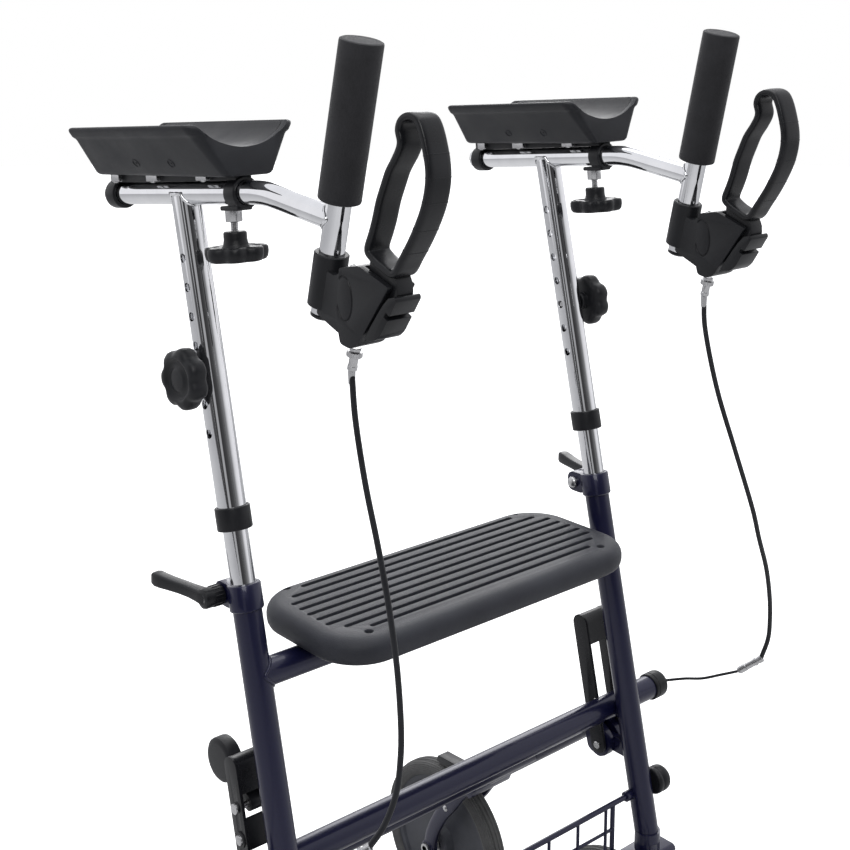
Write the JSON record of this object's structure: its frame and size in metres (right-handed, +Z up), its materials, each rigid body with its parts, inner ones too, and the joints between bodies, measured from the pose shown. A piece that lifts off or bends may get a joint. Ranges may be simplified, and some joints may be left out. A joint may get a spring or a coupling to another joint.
{
  "type": "walking frame",
  "caption": "Rolling walking frame with forearm troughs, upright grips, loop brake levers, height-adjustable chromed tubes, seat, basket and castor wheels.",
  "frame": {"origin": "on the floor, under the middle of the frame's overall box", "axes": "+Z up, -Y the way the frame rolls forward, +X the user's left"},
  "size_m": [0.7193, 0.5565, 1.0936],
  "materials": {
    "chrome": "polished",
    "blue_paint": "gloss powder coat",
    "black_plastic": "satin",
    "black_metal": "satin",
    "pad": "soft satin",
    "foam": "closed-cell foam",
    "seat_plastic": "fine texture",
    "cable_sheath": "satin",
    "steel": "plated",
    "wheel": "matt tread"
  },
  "bodies": {
    "frame": {"crossbar": "blue_paint", "seat_tube": "blue_paint", "basket": "black_plastic", "right_post": "blue_paint", "right_post_knob": "black_plastic", "right_post_collar": "blue_paint", "right_crossbar_cap": "black_plastic", "right_latch_bracket": "black_metal", "right_cable_connector": "steel", "right_cable_lower": "cable_sheath", "left_post": "blue_paint", "left_post_knob": "black_plastic", "left_post_collar": "blue_paint", "left_crossbar_cap": "black_plastic", "left_latch_bracket": "black_metal", "left_cable_connector": "steel", "left_cable_lower": "cable_sheath"},
    "rear_frame": {"rear_cross_tube": "blue_paint", "right_rear_leg": "blue_paint", "left_rear_leg": "blue_paint"},
    "seat": {"seat": "seat_plastic"},
    "fold_lever": {"fold_lever": "black_plastic"},
    "right_clamp_lever": {"right_clamp_lever": "black_plastic"},
    "right_lower_tube": {"right_lower_tube": "chrome"},
    "right_handle": {"right_handle_tube": "chrome", "right_tube_ring": "black_plastic", "right_grip": "foam", "right_brake_housing": "black_plastic", "right_cable_adjuster": "steel", "right_cable_upper": "cable_sheath"},
    "right_height_knob": {"right_height_knob": "black_plastic"},
    "right_trough": {"right_trough": "black_plastic", "right_trough_pad": "pad", "right_trough_clamp": "black_plastic"},
    "right_trough_knob": {"right_trough_knob": "black_plastic"},
    "right_brake_lever": {"right_brake_lever": "black_plastic"},
    "right_castor": {"right_front_fork": "blue_paint"},
    "right_front_wheel": {"right_front_wheel": "wheel"},
    "right_rear_wheel": {"right_rear_wheel": "wheel"},
    "right_brake_arm": {"right_brake_arm": "black_plastic"},
    "left_clamp_lever": {"left_clamp_lever": "black_plastic"},
    "left_lower_tube": {"left_lower_tube": "chrome"},
    "left_handle": {"left_handle_tube": "chrome", "left_tube_ring": "black_plastic", "left_grip": "foam", "left_brake_housing": "black_plastic", "left_cable_adjuster": "steel", "left_cable_upper": "cable_sheath"},
    "left_height_knob": {"left_height_knob": "black_plastic"},
    "left_trough": {"left_trough": "black_plastic", "left_trough_pad": "pad", "left_trough_clamp": "black_plastic"},
    "left_trough_knob": {"left_trough_knob": "black_plastic"},
    "left_brake_lever": {"left_brake_lever": "black_plastic"},
    "left_castor": {"left_front_fork": "blue_paint"},
    "left_front_wheel": {"left_front_wheel": "wheel"},
    "left_rear_wheel": {"left_rear_wheel": "wheel"},
    "left_brake_arm": {"left_brake_arm": "black_plastic"}
  },
  "joints": [
    {"name": "right_lower_tube_slide", "type": "slide", "parent": "frame", "child": "right_lower_tube", "axis": [0, 0.2233, 0.9748], "range_m": [0, 0.12], "deforming": ["right_cable_lower"]},
    {"name": "right_handle_slide", "type": "slide", "parent": "right_lower_tube", "child": "right_handle", "axis": [0, 0.2233, 0.9748], "range_m": [-0.0254, 0.0508], "deforming": ["right_cable_upper"]},
    {"name": "right_height_knob_turn", "type": "hinge", "parent": "right_handle", "child": "right_height_knob", "pos_m": [-0.2227, 0.00667, 0.80296], "axis": [0.999, 0.0442, -0.0101], "continuous": true},
    {"name": "right_trough_slide", "type": "slide", "parent": "right_handle", "child": "right_trough", "axis": [-0.045, 0.9941, -0.0984], "range_m": [-0.015, 0.015]},
    {"name": "right_trough_knob_turn", "type": "hinge", "parent": "right_trough", "child": "right_trough_knob", "pos_m": [-0.21984, -0.03046, 0.92292], "axis": [0.0057, 0.0988, 0.9951], "continuous": true},
    {"name": "right_brake_lever_squeeze", "type": "hinge", "parent": "right_handle", "child": "right_brake_lever", "pos_m": [-0.21178, -0.21741, 0.90194], "axis": [-0.999, -0.0442, 0.0101], "range_deg": [0, 10], "stiffness_Nm_per_rad": 0.6, "springref_deg": -14.32},
    {"name": "right_brake_arm_press", "type": "hinge", "parent": "rear_frame", "child": "right_brake_arm", "pos_m": [-0.205, 0.13235, 0.208], "axis": [-1, 0, 0], "range_deg": [0, 2.6]},
    {"name": "right_clamp_lever_turn", "type": "hinge", "parent": "frame", "child": "right_clamp_lever", "pos_m": [-0.2227, -0.01565, 0.612], "axis": [1, 0, 0], "range_deg": [0, 75]},
    {"name": "right_castor_swivel", "type": "hinge", "parent": "frame", "child": "right_castor", "pos_m": [-0.2227, -0.12165, 0.2294], "axis": [0, 0, 1], "continuous": true},
    {"name": "right_front_wheel_spin", "type": "hinge", "parent": "right_castor", "child": "right_front_wheel", "pos_m": [-0.2227, -0.08365, 0.1], "axis": [1, 0, 0], "continuous": true},
    {"name": "right_rear_wheel_spin", "type": "hinge", "parent": "rear_frame", "child": "right_rear_wheel", "pos_m": [-0.205, 0.18135, 0.1], "axis": [1, 0, 0], "continuous": true},
    {"name": "left_lower_tube_slide", "type": "slide", "parent": "frame", "child": "left_lower_tube", "axis": [0, 0.2233, 0.9748], "range_m": [0, 0.12], "deforming": ["left_cable_lower"]},
    {"name": "left_handle_slide", "type": "slide", "parent": "left_lower_tube", "child": "left_handle", "axis": [0, 0.2233, 0.9748], "range_m": [-0.0254, 0.0508], "deforming": ["left_cable_upper"]},
    {"name": "left_height_knob_turn", "type": "hinge", "parent": "left_handle", "child": "left_height_knob", "pos_m": [0.2227, 0.00667, 0.80296], "axis": [0.999, -0.0442, 0.0101], "continuous": true},
    {"name": "left_trough_slide", "type": "slide", "parent": "left_handle", "child": "left_trough", "axis": [0.045, 0.9941, -0.0984], "range_m": [-0.015, 0.015]},
    {"name": "left_trough_knob_turn", "type": "hinge", "parent": "left_trough", "child": "left_trough_knob", "pos_m": [0.21984, -0.03046, 0.92292], "axis": [-0.0057, 0.0988, 0.9951], "continuous": true},
    {"name": "left_brake_lever_squeeze", "type": "hinge", "parent": "left_handle", "child": "left_brake_lever", "pos_m": [0.21178, -0.21741, 0.90194], "axis": [-0.999, 0.0442, -0.0101], "range_deg": [0, 10], "stiffness_Nm_per_rad": 0.6, "springref_deg": -14.32},
    {"name": "left_brake_arm_press", "type": "hinge", "parent": "rear_frame", "child": "left_brake_arm", "pos_m": [0.205, 0.13235, 0.208], "axis": [-1, 0, 0], "range_deg": [0, 2.6]},
    {"name": "left_clamp_lever_turn", "type": "hinge", "parent": "frame", "child": "left_clamp_lever", "pos_m": [0.2227, -0.01565, 0.612], "axis": [1, 0, 0], "range_deg": [0, 75]},
    {"name": "left_castor_swivel", "type": "hinge", "parent": "frame", "child": "left_castor", "pos_m": [0.2227, -0.12165, 0.2294], "axis": [0, 0, 1], "continuous": true},
    {"name": "left_front_wheel_spin", "type": "hinge", "parent": "left_castor", "child": "left_front_wheel", "pos_m": [0.2227, -0.08365, 0.1], "axis": [1, 0, 0], "continuous": true},
    {"name": "left_rear_wheel_spin", "type": "hinge", "parent": "rear_frame", "child": "left_rear_wheel", "pos_m": [0.205, 0.18135, 0.1], "axis": [1, 0, 0], "continuous": true},
    {"name": "rear_fold", "type": "hinge", "parent": "frame", "child": "rear_frame", "pos_m": [0, -0.06465, 0.33], "axis": [-1, 0, 0], "range_deg": [0, 13]},
    {"name": "seat_flip", "type": "hinge", "parent": "frame", "child": "seat", "pos_m": [0, -0.05225, 0.546], "axis": [1, 0, 0], "range_deg": [0, 90]},
    {"name": "fold_lever_turn", "type": "hinge", "parent": "frame", "child": "fold_lever", "pos_m": [-0.2227, -0.04315, 0.424], "axis": [-1, 0, 0], "range_deg": [0, 25], "stiffness_Nm_per_rad": 0.3, "springref_deg": -14.32}
  ],
  "couplings": [
    {"joint": "right_brake_arm_press", "follows": "right_brake_lever_squeeze", "ratio": 0.25},
    {"joint": "left_brake_arm_press", "follows": "left_brake_lever_squeeze", "ratio": 0.25}
  ]
}
